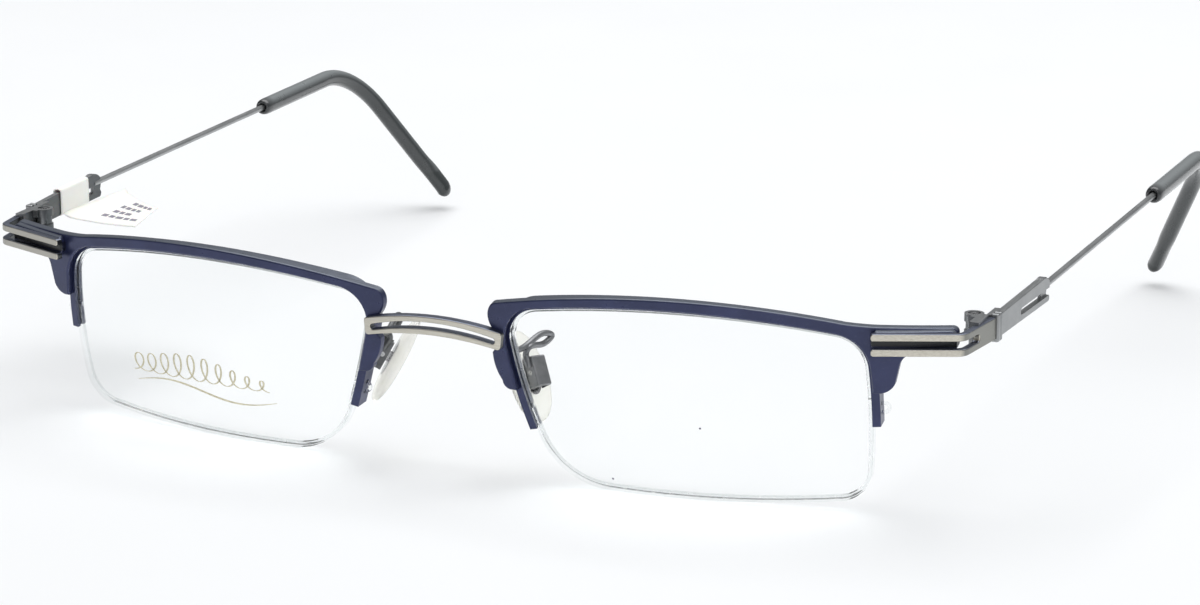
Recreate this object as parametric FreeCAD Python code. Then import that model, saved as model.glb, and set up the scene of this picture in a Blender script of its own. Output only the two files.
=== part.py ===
import FreeCAD, Part
import math
import os

from FreeCAD import Placement, Rotation, Vector

# Half-rim eyeglasses, built as two mirrored sides and a bridge.
# Every piece is drawn for the wearer's left (+X) and mirrored for the right.
# Design frame: X across the face, Y to the back, Z up, zero at the height of the
# lens centres. stand() then moves everything to the middle of its own footprint.

# ---- driving dimensions, mm and degrees ----
LENS_WIDTH = 49.0
BRIDGE_GAP = 21.0
LENS_RADIUS = 110.0
LENS_THICKNESS = 1.9
WRAP_DEG = 6.07
PANTOSCOPIC_DEG = 7.81

GROOVE_DEPTH = 0.55
GROOVE_FRONT = 0.65
GROOVE_WIDTH = 0.6
THREAD_DIAMETER = 0.5
FIT_GAP = 0.02

RIM_WIDTH = 1.1
RIM_DEPTH = 2.0
PLATE_PROUD = 1.0
PLATE_EDGE = 0.45
BOSS_PROUD = 1.8

BAR_THICKNESS = 1.0
BAR_HEIGHT = 0.95
END_HEIGHT = 2.95
END_BOTTOM = 9.85
END_SLOPE_DEG = 1.5

BUTT_Y = 14.75
HINGE_X = 69.5
HINGE_Y = 14.55
KNUCKLE_RADIUS = 1.1
HINGE_BOTTOM = 9.9
HINGE_TOP = 13.2
SCREW_RADIUS = 0.5
RUNNING_GAP = 0.05

TEMPLE_SPLAY_DEG = 2.4
PLATE_THICKNESS = 0.9
FORK_LENGTH = 20.6
WIRE_DIAMETER = 0.9
WIRE_Z = 12.1
TIP_DIAMETER = 2.6
TIP_BEND_RADIUS = 15.0

PAD_LENGTH = 13.0
PAD_WIDTH = 6.4
PAD_THICKNESS = 2.2

LENS_CENTRE_X = (BRIDGE_GAP + LENS_WIDTH) / 2
X_AXIS = Vector(1, 0, 0)
Y_AXIS = Vector(0, 1, 0)
Z_AXIS = Vector(0, 0, 1)


# ---- lens frame: u from the nasal edge, v up from the centre, depth to the back ----
def lens_placement():
    tilt = Placement(Vector(0, 0, 0), Rotation(X_AXIS, PANTOSCOPIC_DEG))
    wrap = Placement(Vector(LENS_CENTRE_X, 0, 0), Rotation(Z_AXIS, WRAP_DEG))
    return tilt.multiply(wrap)


def to_front(shape):
    return shape.transformed(lens_placement().Matrix)


def lens_point(u, v, depth):
    across = u - LENS_WIDTH / 2
    back = LENS_RADIUS - math.sqrt((LENS_RADIUS - depth) ** 2 - across**2 - v**2)
    return Vector(across, back, v)


def front_point(u, v, depth):
    return lens_placement().multVec(lens_point(u, v, depth))


def uv(u, v):
    return Vector(u - LENS_WIDTH / 2, 0, v)


def bulged(a, b, bulge):
    run = b.sub(a)
    outward = Vector(-run.z, 0, run.x).normalize()
    middle = a.add(b).multiply(0.5).add(outward.multiply(bulge))
    return Part.Arc(a, middle, b).toShape()


def prism(face, front=-6.0, back=12.0):
    face = face.copy()
    face.translate(Vector(0, front, 0))
    return face.extrude(Vector(0, back - front, 0))


def shell(front, back):
    """Space between two depths behind the lens's front sphere."""
    centre = Vector(0, LENS_RADIUS, 0)
    outer = Part.makeSphere(LENS_RADIUS - front, centre)
    inner = Part.makeSphere(LENS_RADIUS - back, centre)
    return outer.cut(inner)


def outline(start, *segments):
    """Closed face in the lens plane. A segment is one point for a line, two for an
    arc, or three and more for a curve through them."""
    here = uv(*start)
    edges = []
    for segment in segments:
        points = [uv(*p) for p in segment]
        if len(points) == 1:
            edges.append(Part.makeLine(here, points[0]))
        elif len(points) == 2:
            edges.append(Part.Arc(here, points[0], points[1]).toShape())
        else:
            curve = Part.BSplineCurve()
            curve.interpolate([here] + points)
            edges.append(curve.toShape())
        here = points[-1]
    if here.distanceToPoint(uv(*start)) > 1e-6:
        edges.append(Part.makeLine(here, uv(*start)))
    return Part.Face(Part.Wire(edges))


# ---- lens outline: four bulged edges and four rounded corners ----
LENS_CORNERS = {
    "nasal_top": ((-0.45, 10.68), 4.4),
    "temporal_top": ((48.23, 10.25), 5.2),
    "temporal_bottom": ((48.11, -12.41), 4.4),
    "nasal_bottom": ((6.42, -12.99), 10.0),
}
EDGE_BULGES = (2.81, 0.82, 0.55, 0.83)


def lens_prism(offset=0.0):
    """The lens outline grown by offset, through the whole depth of the front."""
    corners = list(LENS_CORNERS.values())
    edges = []
    for i, bulge in enumerate(EDGE_BULGES):
        a = uv(*corners[i][0])
        b = uv(*corners[(i + 1) % 4][0])
        edges.append(bulged(a, b, bulge))
    face = Part.Face(Part.Wire(edges))
    if offset:
        face = face.makeOffset2D(offset, 2)
    block = prism(face)
    for place, radius in corners:
        block = round_edge_near(block, uv(*place), radius + offset)
    return block


def round_edge_near(solid, place, radius):
    """Fillet the depth-wise edge that is nearest to a point of the lens plane."""

    def gap(edge):
        middle = edge.CenterOfMass
        return math.hypot(middle.x - place.x, middle.z - place.z)

    along = [e for e in solid.Edges if abs(e.tangentAt(e.FirstParameter).y) > 0.99]
    return solid.makeFillet(radius, [min(along, key=gap)])


def edges_at_depth(solid, depth):
    """Edges that lie wholly at one depth behind the lens's front sphere."""
    centre = Vector(0, LENS_RADIUS, 0)

    def lies_there(edge):
        first, last = edge.FirstParameter, edge.LastParameter
        spots = [edge.valueAt(p) for p in (first, (first + last) / 2, last)]
        return all(
            abs(p.distanceToPoint(centre) - (LENS_RADIUS - depth)) < 0.02 for p in spots
        )

    return [e for e in solid.Edges if lies_there(e)]


def above(v_nasal, v_temporal):
    """Everything of the lens frame above one height on each side."""
    top = 30.0
    nasal = Part.makeBox(40, 30, top - v_nasal, Vector(-40, -8, v_nasal))
    temporal = Part.makeBox(45, 30, top - v_temporal, Vector(0, -8, v_temporal))
    return nasal.fuse(temporal)


# ---- where the thread passes through the two tabs of the rim ----
LOOP_RADIUS = 0.65
TEMPORAL_HOOK = (49.05, 0.65, 0.0)
NASAL_HOOK = (2.83, -3.35, 180.0 - 16.2)


def hook_placement(hook):
    """Frame of one hook: X outward along the lens surface, Y straight back into it."""
    u, v, turn_deg = hook
    turn = math.radians(turn_deg)
    origin = lens_point(u, v, GROOVE_FRONT + GROOVE_WIDTH / 2)
    back = Vector(0, LENS_RADIUS, 0).sub(origin)
    outward = Vector(math.cos(turn), 0, math.sin(turn))
    return Placement(origin, Rotation(outward, back, Vector(), "YXZ"))


def thread_hook(hook):
    """Thread out through one hole of the tab, round a loop and back in."""
    inside = -0.15
    outside = RIM_WIDTH + 0.25
    low = Vector(inside, 0, -LOOP_RADIUS)
    high = Vector(inside, 0, LOOP_RADIUS)
    turn_low = Vector(outside, 0, -LOOP_RADIUS)
    turn_high = Vector(outside, 0, LOOP_RADIUS)
    crown = Vector(outside + LOOP_RADIUS, 0, 0)
    path = Part.Wire(
        [
            Part.makeLine(low, turn_low),
            Part.Arc(turn_low, crown, turn_high).toShape(),
            Part.makeLine(turn_high, high),
        ]
    )
    section = Part.Wire(Part.makeCircle(THREAD_DIAMETER / 2, low, X_AXIS))
    shape = path.makePipeShell([section], True, False)
    return shape.transformed(hook_placement(hook).Matrix)


def thread_holes(hook):
    radius = THREAD_DIAMETER / 2 + RUNNING_GAP
    start = -1.0
    length = RIM_WIDTH + 2.0
    holes = [
        Part.makeCylinder(radius, length, Vector(start, 0, side * LOOP_RADIUS), X_AXIS)
        for side in (-1, 1)
    ]
    return Part.makeCompound(holes).transformed(hook_placement(hook).Matrix)


# ---- front ----
def lens():
    ring = lens_prism(1.0).cut(lens_prism(-GROOVE_DEPTH))
    groove = ring.common(shell(GROOVE_FRONT, GROOVE_FRONT + GROOVE_WIDTH))
    body = lens_prism().common(shell(0, LENS_THICKNESS))
    return to_front(body.cut(groove))


def groove_strip(outer, inner):
    """Strip that fills the groove from one offset of the outline to another."""
    ring = lens_prism(outer).cut(lens_prism(inner))
    front = GROOVE_FRONT + FIT_GAP
    back = GROOVE_FRONT + GROOVE_WIDTH - FIT_GAP
    return ring.common(shell(front, back))


THREAD_TOPS = (NASAL_HOOK[1] + LOOP_RADIUS, TEMPORAL_HOOK[1] + LOOP_RADIUS)


def nylon_thread():
    strip = groove_strip(-0.06, -GROOVE_DEPTH + FIT_GAP).cut(above(*THREAD_TOPS))
    for hook in (NASAL_HOOK, TEMPORAL_HOOK):
        strip = strip.fuse(thread_hook(hook))
    return to_front(strip.removeSplitter())


def rim_liner():
    start = 0.6
    reach = above(THREAD_TOPS[0] + start, THREAD_TOPS[1] + start)
    strip = groove_strip(0.35, -GROOVE_DEPTH + FIT_GAP)
    return to_front(strip.common(reach))


def rim():
    tip_u, tip_v = 2.73, -5.67
    slope = math.radians(16.2)
    across = (1.6 * math.cos(slope), 1.6 * math.sin(slope))
    keep = outline(
        (-8, 20),
        [(58, 20)],
        [(58, -1.7)],
        [(40, -1.7)],
        [(tip_u + across[0], tip_v + across[1])],
        [(tip_u - across[0], tip_v - across[1])],
        [(-8, -8)],
    )
    ring = lens_prism(RIM_WIDTH).cut(lens_prism(FIT_GAP))
    body = ring.common(shell(0, RIM_DEPTH)).common(prism(keep))
    channel = lens_prism(0.35 + FIT_GAP)
    channel = channel.common(shell(GROOVE_FRONT, GROOVE_FRONT + GROOVE_WIDTH))
    body = body.cut(thread_holes(TEMPORAL_HOOK)).cut(channel)
    return to_front(body.cut(thread_holes(NASAL_HOOK)))


def brow_plate():
    """Front skin: brow, nasal wing and lobe, temporal lobe and the boss of the bars."""
    skin = outline(
        (-1.2, 12.15),
        [(23.3, 15.15), (45.8, 12.85)],
        [(48.0, 12.55), (50.3, 12.35)],
        [(59.0, 11.9)],
        [(59.65, 11.65), (59.9, 11.0)],
        [(59.9, 9.6)],
        [(59.75, 9.15), (59.3, 9.0)],
        [(54.6, 8.75)],
        [(53.25, 8.1), (52.7, 7.0)],
        [(52.15, 4.6)],
        [(51.2, 3.6), (49.9, 3.35)],
        [(49.2, 3.45)],
        [(46.0, 8.0)],
        [(10.0, 6.0)],
        [(2.5, 0.1)],
        [(0.55, 0.15)],
        [(-0.1, 0.2), (-0.9, 1.3)],
        [(-1.75, 2.9), (-2.15, 5.1)],
        [(-1.3, 6.2)],
        [(-1.3, 7.6)],
        [(-2.2, 8.6), (-2.7, 10.0), (-2.4, 11.4), (-1.2, 12.15)],
    )
    boss = outline(
        (49.9, 12.1),
        [(59.0, 11.8)],
        [(59.65, 11.5), (59.9, 10.9)],
        [(59.9, 9.8)],
        [(59.75, 9.2), (59.3, 9.0)],
        [(50.2, 9.2)],
        [(49.3, 10.6), (49.9, 12.1)],
    )
    inside = lens_prism(PLATE_EDGE)
    body = prism(skin).common(shell(-PLATE_PROUD, 0)).cut(inside).removeSplitter()
    body = body.makeFillet(0.25, edges_at_depth(body, -PLATE_PROUD))
    block = prism(boss).common(shell(-BOSS_PROUD, 0)).cut(inside).removeSplitter()
    block = block.makeFillet(0.3, edges_at_depth(block, -BOSS_PROUD))
    return to_front(body.fuse(block).removeSplitter())


def bridge(plates):
    """Arched bar, crossed from its front view and its plan view, with a long slot."""
    half = 10.15
    ends = (5.6, 8.0)
    middles = (6.75, 9.25)
    depth = 1.5
    bow_y = (-2.3, -2.75)

    def arched(low, low_mid, high, high_mid, half_low, half_high):
        edges = [
            Part.Arc(
                Vector(-half_high, 0, high), Vector(0, 0, high_mid), Vector(half_high, 0, high)
            ).toShape(),
            Part.makeLine(Vector(half_high, 0, high), Vector(half_low, 0, low)),
            Part.Arc(
                Vector(half_low, 0, low), Vector(0, 0, low_mid), Vector(-half_low, 0, low)
            ).toShape(),
            Part.makeLine(Vector(-half_low, 0, low), Vector(-half_high, 0, high)),
        ]
        face = Part.Face(Part.Wire(edges))
        face.translate(Vector(0, -10, 0))
        return face.extrude(Vector(0, 20, 0))

    def bowed(y_end, y_mid, side):
        arc = Part.Arc(Vector(-side, y_end, 0), Vector(0, y_mid, 0), Vector(side, y_end, 0))
        back = Part.Arc(
            Vector(side, y_end + depth, 0),
            Vector(0, y_mid + depth, 0),
            Vector(-side, y_end + depth, 0),
        )
        edges = [
            arc.toShape(),
            Part.makeLine(Vector(side, y_end, 0), Vector(side, y_end + depth, 0)),
            back.toShape(),
            Part.makeLine(Vector(-side, y_end + depth, 0), Vector(-side, y_end, 0)),
        ]
        return Part.Face(Part.Wire(edges)).extrude(Vector(0, 0, 20))

    bar = arched(ends[0], middles[0], ends[1], middles[1], half - 0.25, half)
    corners = [e for e in bar.Edges if abs(e.tangentAt(e.FirstParameter).y) > 0.99]
    bar = bar.makeFillet(0.5, corners)
    slot_low = ends[0] + 0.82
    slot_high = ends[1] - 0.8
    slot_half = half - 1.05
    slot = arched(
        slot_low, middles[0] + 0.83, slot_high, middles[1] - 0.78, slot_half, slot_half
    )
    corners = [e for e in slot.Edges if abs(e.tangentAt(e.FirstParameter).y) > 0.99]
    slot = slot.makeFillet(0.36, corners)
    bar = bar.cut(slot).common(bowed(bow_y[0], bow_y[1], half + 0.5))
    bar = bar.makeFillet(0.16, [e for e in bar.Edges if e.Length > 5])
    for plate in plates:
        bar = bar.cut(plate)
    return max(bar.Solids, key=lambda solid: solid.Volume)


def end_piece(plate):
    """Slotted bar along the front that turns the corner to the hinge."""
    tip = Vector(59.85, 1.92, 0)
    corner = Vector(71.3, 5.6, 0)
    butt = Vector(72.45, BUTT_Y - RUNNING_GAP / 2, 0)
    front_turn = math.atan2(corner.y - tip.y, corner.x - tip.x)
    side_turn = math.atan2(butt.y - corner.y, butt.x - corner.x)
    half_turn = (side_turn + front_turn) / 2
    reach = BAR_THICKNESS / math.cos((side_turn - front_turn) / 2)
    inner = corner.add(
        Vector(-math.sin(half_turn), math.cos(half_turn), 0).multiply(reach)
    )
    tip_in = tip.add(
        Vector(-math.sin(front_turn), math.cos(front_turn), 0).multiply(BAR_THICKNESS)
    )
    butt_in = Vector(butt.x - BAR_THICKNESS, butt.y, 0)
    face = Part.Face(Part.makePolygon([tip, corner, butt, butt_in, inner, tip_in, tip]))
    face.translate(Vector(0, 0, END_BOTTOM))
    body = face.extrude(Vector(0, 0, END_HEIGHT))

    def upright_near(place):
        uprights = [
            e for e in body.Edges if abs(e.tangentAt(e.FirstParameter).z) > 0.99
        ]
        return min(
            uprights,
            key=lambda e: math.hypot(e.CenterOfMass.x - place.x, e.CenterOfMass.y - place.y),
        )

    def is_level(edge):
        low, high = edge.BoundBox.ZMin, edge.BoundBox.ZMax
        return high - low < 1e-3

    def crosses_tip(edge):
        near = all(v.Point.x < tip.x + 0.01 for v in edge.Vertexes)
        return near and is_level(edge)

    body = body.makeFillet(1.9, [upright_near(corner)])
    body = body.makeFillet(1.9 - BAR_THICKNESS, [upright_near(inner)])
    slot_z = END_BOTTOM + BAR_HEIGHT
    slot_height = END_HEIGHT - 2 * BAR_HEIGHT
    front_slot = Part.makeBox(14, 7.5, slot_height, Vector(58, 0, slot_z))
    side_slot = Part.makeBox(6, 2.4, slot_height, Vector(68, 7.0, slot_z))
    slot_end = Part.makeCylinder(
        slot_height / 2, 6, Vector(68, 9.4, slot_z + slot_height / 2), X_AXIS
    )
    body = body.cut(front_slot).cut(side_slot).cut(slot_end)
    body = body.makeFillet(0.35, [e for e in body.Edges if crosses_tip(e)])
    body = body.makeFillet(0.16, [e for e in body.Edges if e.Length > 3.5 and is_level(e)])
    body = body.rotated(Vector(corner.x, 0, END_BOTTOM), Y_AXIS, -END_SLOPE_DEG)
    return body.cut(plate)


# ---- hinge ----
def hinge_levels():
    """Heights of the top, middle and bottom knuckles."""
    third = (HINGE_TOP - HINGE_BOTTOM) / 3
    low = HINGE_BOTTOM + third
    high = HINGE_TOP - third
    return (
        (HINGE_BOTTOM, low - RUNNING_GAP),
        (low, high),
        (high + RUNNING_GAP, HINGE_TOP),
    )


def upright(radius, low, high, x=HINGE_X, y=HINGE_Y):
    return Part.makeCylinder(radius, high - low, Vector(x, y, low))


def hinge_front_leaf(end):
    bottom, middle, top = hinge_levels()
    outer_radius = 1.3
    leaf = Part.makeBox(1.3, 4.3, HINGE_TOP - HINGE_BOTTOM, Vector(70.2, 10.2, HINGE_BOTTOM))
    leaf = leaf.cut(upright(KNUCKLE_RADIUS + 0.15, middle[0] - RUNNING_GAP, top[0]))
    for low, high in (bottom, top):
        knuckle = upright(outer_radius, low, high)
        web = Part.makeBox(1.9, 1.8, high - low, Vector(HINGE_X, HINGE_Y - 1.85, low))
        leaf = leaf.fuse(knuckle).fuse(web)
    leaf = leaf.cut(upright(SCREW_RADIUS + FIT_GAP, HINGE_BOTTOM - 1, HINGE_TOP + 1))
    leaf = leaf.cut(upright(0.85, HINGE_TOP - 0.45, HINGE_TOP + 1))
    return leaf.cut(end).removeSplitter()


def hinge_screw():
    shank = upright(SCREW_RADIUS, HINGE_BOTTOM + 0.15, HINGE_TOP - 0.43)
    head = upright(0.8, HINGE_TOP - 0.43, HINGE_TOP - 0.1)
    slot = Part.makeBox(2.0, 0.25, 0.2, Vector(HINGE_X - 1, HINGE_Y - 0.125, HINGE_TOP - 0.25))
    return shank.fuse(head).cut(slot).removeSplitter()


def temple_frame():
    """Frame of one temple: X along it from the butt, Y inward from its face, Z up."""
    origin = Vector(72.5, BUTT_Y + RUNNING_GAP / 2, 0)
    return Placement(origin, Rotation(Z_AXIS, 90 - TEMPLE_SPLAY_DEG))


def side_face(start, *segments):
    """Closed face in the temple's side view, from s along it and z up."""
    here = Vector(start[0], 0, start[1])
    first = here
    edges = []
    for segment in segments:
        points = [Vector(s, 0, z) for s, z in segment]
        if len(points) == 1:
            edges.append(Part.makeLine(here, points[0]))
        else:
            edges.append(Part.Arc(here, points[0], points[1]).toShape())
        here = points[-1]
    if here.distanceToPoint(first) > 1e-6:
        edges.append(Part.makeLine(here, first))
    return Part.Face(Part.Wire(edges))


def temple_plate():
    """Beaded end at the joint, then a plate that opens into a fork."""
    low, high = 9.85, 12.95
    end = FORK_LENGTH
    blade = side_face(
        (0.0, low),
        [(0.0, high)],
        [(end - 3.2, high + 0.6)],
        [(end - 1.1, high + 0.45), (end, high - 0.3)],
        [(end, high - 1.2)],
        [(end - 0.3, low + 1.15)],
        [(end, low + 0.7)],
        [(end - 0.1, low + 0.25), (end - 0.5, low + 0.05)],
    )
    body = blade.extrude(Vector(0, PLATE_THICKNESS, 0))
    face_rim = [e for e in body.Edges if e.BoundBox.YMax < 0.01 and e.BoundBox.XMax > 0.1]
    body = body.makeFillet(0.2, face_rim)
    slot_low = low + 0.9
    slot_high = low + 1.85
    slot_start = 9.2
    radius = (slot_high - slot_low) / 2
    slot = side_face(
        (slot_start + radius, slot_low),
        [(slot_start, slot_low + radius), (slot_start + radius, slot_high)],
        [(end + 1, slot_high + 0.12)],
        [(end + 1, slot_low)],
    )
    through = slot.copy()
    through.translate(Vector(0, -3, 0))
    through = through.extrude(Vector(0, 6, 0))
    web = Part.makeBox(3.2, PLATE_THICKNESS, 4, Vector(end - 2.4, PLATE_THICKNESS / 2, low - 0.5))
    body = body.cut(through.cut(web))
    for start, width in ((0.0, 0.8), (1.0, 0.65)):
        ridge = Part.makeBox(width, PLATE_THICKNESS + 0.25, high - low + 0.7)
        ridge.translate(Vector(start, -0.25, low - 0.4))
        ridge = ridge.makeFillet(0.25, ridge.Edges)
        body = body.fuse(ridge)
    body = body.removeSplitter().transformed(temple_frame().Matrix)
    return body.cut(wire_solid())


def hinge_temple_leaf(plate):
    _, middle, _ = hinge_levels()
    knuckle = upright(KNUCKLE_RADIUS, middle[0], middle[1])
    arm = Part.makeBox(2.4, 1.6, middle[1] - middle[0], Vector(HINGE_X, HINGE_Y + 0.3, middle[0]))
    base = Part.makeBox(0.9, 3.6, HINGE_TOP - HINGE_BOTTOM - 0.3)
    base.translate(Vector(HINGE_X + 1.5, BUTT_Y + 0.15, HINGE_BOTTOM + 0.15))
    leaf = knuckle.fuse(arm).fuse(base)
    leaf = leaf.cut(upright(SCREW_RADIUS + RUNNING_GAP, middle[0] - 1, middle[1] + 1))
    return leaf.cut(plate).removeSplitter()


# ---- wire and tip of the temple: a long run, one bend and the drop ----
WIRE_START = Vector(72.75, 33.6, WIRE_Z)
BEND_CORNER = Vector(73.4, 118.0, WIRE_Z + 0.6)
TIP_END = Vector(62.5, 131.0, -9.6)
TIP_START_Y = 87.0


def bent_path(start, end):
    """Line, tangent arc and line from start round the bend to end."""
    back = start.sub(BEND_CORNER).normalize()
    down = end.sub(BEND_CORNER).normalize()
    half = math.acos(back.dot(down)) / 2
    reach = TIP_BEND_RADIUS / math.tan(half)
    first = BEND_CORNER.add(Vector(back).multiply(reach))
    last = BEND_CORNER.add(Vector(down).multiply(reach))
    inward = back.add(down).normalize()
    centre = BEND_CORNER.add(Vector(inward).multiply(TIP_BEND_RADIUS / math.sin(half)))
    crown = centre.sub(Vector(inward).multiply(TIP_BEND_RADIUS))
    return Part.Wire(
        [
            Part.makeLine(start, first),
            Part.Arc(first, crown, last).toShape(),
            Part.makeLine(last, end),
        ]
    )


def tube(start, end, radius):
    axis = BEND_CORNER.sub(start).normalize()
    section = Part.Wire(Part.makeCircle(radius, start, axis))
    return bent_path(start, end).makePipeShell([section], True, False)


def run_point(y):
    share = (y - WIRE_START.y) / (BEND_CORNER.y - WIRE_START.y)
    return WIRE_START.add(BEND_CORNER.sub(WIRE_START).multiply(share))


def drop_point(from_end):
    down = TIP_END.sub(BEND_CORNER).normalize()
    return TIP_END.sub(down.multiply(from_end))


def wire_solid():
    return tube(WIRE_START, drop_point(4.0), WIRE_DIAMETER / 2)


def temple_tip(wire):
    radius = TIP_DIAMETER / 2
    start = run_point(TIP_START_Y + 3.0)
    nose = run_point(TIP_START_Y)
    axis = start.sub(nose)
    cover = tube(start, TIP_END, radius)
    cone = Part.makeCone(WIRE_DIAMETER / 2 + 0.12, radius, axis.Length, nose, axis)
    end_radius = radius + 0.35
    ball = Part.makeSphere(end_radius, TIP_END)
    down = TIP_END.sub(BEND_CORNER).normalize()
    flare = Part.makeCone(radius, end_radius, 6.0, drop_point(6.0), down)
    return cover.fuse(cone).fuse(flare).fuse(ball).cut(wire).removeSplitter()


# ---- size tag on the wearer's right temple, drawn on the left and mirrored ----
def size_tag_band(plate):
    start, length, wall, room = 8.2, 8.3, 0.14, 0.06
    low, high = 9.72, 13.72
    outer = Part.makeBox(length, PLATE_THICKNESS + 2 * (wall + room), high - low)
    outer.translate(Vector(start, -wall - room, low))
    inner = Part.makeBox(length + 2, PLATE_THICKNESS + 2 * room, high - low - 2 * wall)
    inner.translate(Vector(start - 1, -room, low + wall))
    band = outer.cut(inner).transformed(temple_frame().Matrix)
    return band.cut(plate)


def size_tag_flag():
    """Paper flag: leaves the band's lower edge and stands inward and back."""
    thickness = 0.16
    top = 9.66
    plan = ((71.9, 23.6), (58.8, 21.6), (60.6, 31.4), (70.9, 40.0), (72.1, 31.6))
    points = [Vector(x, y, top - thickness) for x, y in plan]
    face = Part.Face(Part.makePolygon(points + points[:1]))
    return face.extrude(Vector(0, 0, thickness))


# ---- nose pad ----
PAD_CENTRE = Vector(9.9, 6.7, -0.3)
PAD_LEAN = (-0.4, 0.3, 0.86)
PAD_SPLAY_DEG = 28.0


def pad_frame():
    """Frame of one pad: X its width, Y out of its back to the box, Z its length."""
    long_axis = Vector(*PAD_LEAN).normalize()
    splay = math.radians(PAD_SPLAY_DEG)
    out = Vector(math.cos(splay), -math.sin(splay), 0)
    out = out.sub(Vector(long_axis).multiply(out.dot(long_axis))).normalize()
    return Placement(PAD_CENTRE, Rotation(out.cross(long_axis), out, long_axis, "YZX"))


def in_pad_frame(shape):
    return shape.transformed(pad_frame().Matrix)


def oval(width, length, front, thickness):
    face = Part.Face(
        Part.Wire(Part.Ellipse(Vector(0, 0, 0), length / 2, width / 2).toShape())
    )
    face.rotate(Vector(0, 0, 0), Y_AXIS, -90)
    face.rotate(Vector(0, 0, 0), Z_AXIS, 90)
    face.translate(Vector(0, front, 0))
    return face.extrude(Vector(0, thickness, 0))


LUG_THICKNESS = 0.9
PAD_BOX_FRONT = PAD_THICKNESS / 2 + 0.28
PAD_PIVOT_Y = PAD_BOX_FRONT + 0.75
PAD_BOX_WALL = 0.45
PAD_BOX_WIDTH = LUG_THICKNESS + 0.5 + 2 * PAD_BOX_WALL


def pad_insert():
    plate = oval(2.8, 5.4, 0.5, 0.4)
    lug = Part.makeBox(
        LUG_THICKNESS, PAD_PIVOT_Y - 0.7, 1.4, Vector(-LUG_THICKNESS / 2, 0.7, -0.7)
    )
    eye = Part.makeCylinder(0.7, LUG_THICKNESS, Vector(-LUG_THICKNESS / 2, PAD_PIVOT_Y, 0), X_AXIS)
    hole = Part.makeCylinder(0.4, 3, Vector(-1.5, PAD_PIVOT_Y, 0), X_AXIS)
    return plate.fuse(lug).fuse(eye).cut(hole)


def nose_pad(insert):
    body = oval(PAD_WIDTH, PAD_LENGTH, -PAD_THICKNESS / 2, PAD_THICKNESS)
    rounded = [e for e in body.Edges if e.Length > 20]
    return body.makeFillet(0.95, rounded).cut(insert)


def pad_box():
    wall, width, low = PAD_BOX_WALL, PAD_BOX_WIDTH, PAD_BOX_FRONT
    depth, height = 1.9, 4.2
    body = Part.makeBox(width, depth, height, Vector(-width / 2, low, -height / 2))
    body = body.makeFillet(0.25, [e for e in body.Edges if e.CenterOfMass.y > low + 0.1])
    room = Part.makeBox(width - 2 * wall, depth - 0.35, height + 1)
    room.translate(Vector(-width / 2 + wall, low - 0.01, -height / 2 - 0.5))
    hole = Part.makeCylinder(0.36, 4, Vector(-2, PAD_PIVOT_Y, 0), X_AXIS)
    return body.cut(room).cut(hole)


def pad_screw():
    half = PAD_BOX_WIDTH / 2
    shank = Part.makeCylinder(0.34, 2 * half, Vector(-half, PAD_PIVOT_Y, 0), X_AXIS)
    head = Part.makeCylinder(0.6, 0.3, Vector(-half - 0.3, PAD_PIVOT_Y, 0), X_AXIS)
    slot = Part.makeBox(0.15, 1.4, 0.2, Vector(-half - 0.35, PAD_PIVOT_Y - 0.7, -0.1))
    return shank.fuse(head).cut(slot)


def pad_arm(box, rim_solid):
    """Wire from the back of the rim, back, round, forward again and down the box's side."""
    beside = PAD_BOX_WIDTH / 2 + 0.1

    def by_box(across, height):
        return pad_frame().multVec(Vector(across, PAD_BOX_FRONT + 0.95, height))

    points = [
        front_point(-0.35, 5.0, RIM_DEPTH - 0.05),
        Vector(10.5, 7.3, 4.86),
        Vector(11.2, 10.6, 4.86),
        Vector(11.35, 11.25, 4.42),
        Vector(11.2, 10.6, 3.98),
        Vector(10.75, 7.6, 3.98),
        Vector(10.35, 5.45, 3.85),
        by_box(beside, 2.5),
        by_box(beside, 1.7),
        by_box(beside - 0.02, 0.75),
    ]
    curve = Part.BSplineCurve()
    curve.interpolate(points)
    path = Part.Wire(curve.toShape())
    start_axis = curve.tangent(curve.FirstParameter)[0]
    section = Part.Wire(Part.makeCircle(0.42, points[0], start_axis))
    body = path.makePipeShell([section], True, True)
    pieces = body.cut(box).cut(rim_solid).Solids
    return max(pieces, key=lambda solid: solid.Volume)


# ---- assembly ----
def mirrored(shape):
    return shape.mirror(Vector(0, 0, 0), X_AXIS)


def one_side():
    """All pieces of the wearer's left, by the stem of their names."""
    made = {}
    made["lens"] = lens()
    made["nylon_thread"] = nylon_thread()
    made["rim_liner"] = rim_liner()
    made["rim"] = rim()
    made["brow_plate"] = brow_plate()
    made["end_piece"] = end_piece(made["brow_plate"])
    made["hinge_front_leaf"] = hinge_front_leaf(made["end_piece"])
    made["hinge_screw"] = hinge_screw()
    made["temple_plate"] = temple_plate()
    made["hinge_temple_leaf"] = hinge_temple_leaf(made["temple_plate"])
    made["temple_wire"] = wire_solid()
    made["temple_tip"] = temple_tip(made["temple_wire"])
    insert = pad_insert()
    made["pad_insert"] = in_pad_frame(insert)
    made["nose_pad"] = in_pad_frame(nose_pad(insert))
    made["pad_box"] = in_pad_frame(pad_box())
    made["pad_screw"] = in_pad_frame(pad_screw())
    made["pad_arm"] = pad_arm(made["pad_box"], made["rim"])
    return made


def all_pieces():
    pieces = {}
    side = one_side()
    for stem, shape in side.items():
        pieces[stem + "_left"] = shape
        pieces[stem + "_right"] = mirrored(shape)
    pieces["bridge"] = bridge([pieces["brow_plate_left"], pieces["brow_plate_right"]])
    pieces["size_tag_band"] = mirrored(size_tag_band(side["temple_plate"]))
    pieces["size_tag_flag"] = mirrored(size_tag_flag())
    return pieces


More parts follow.
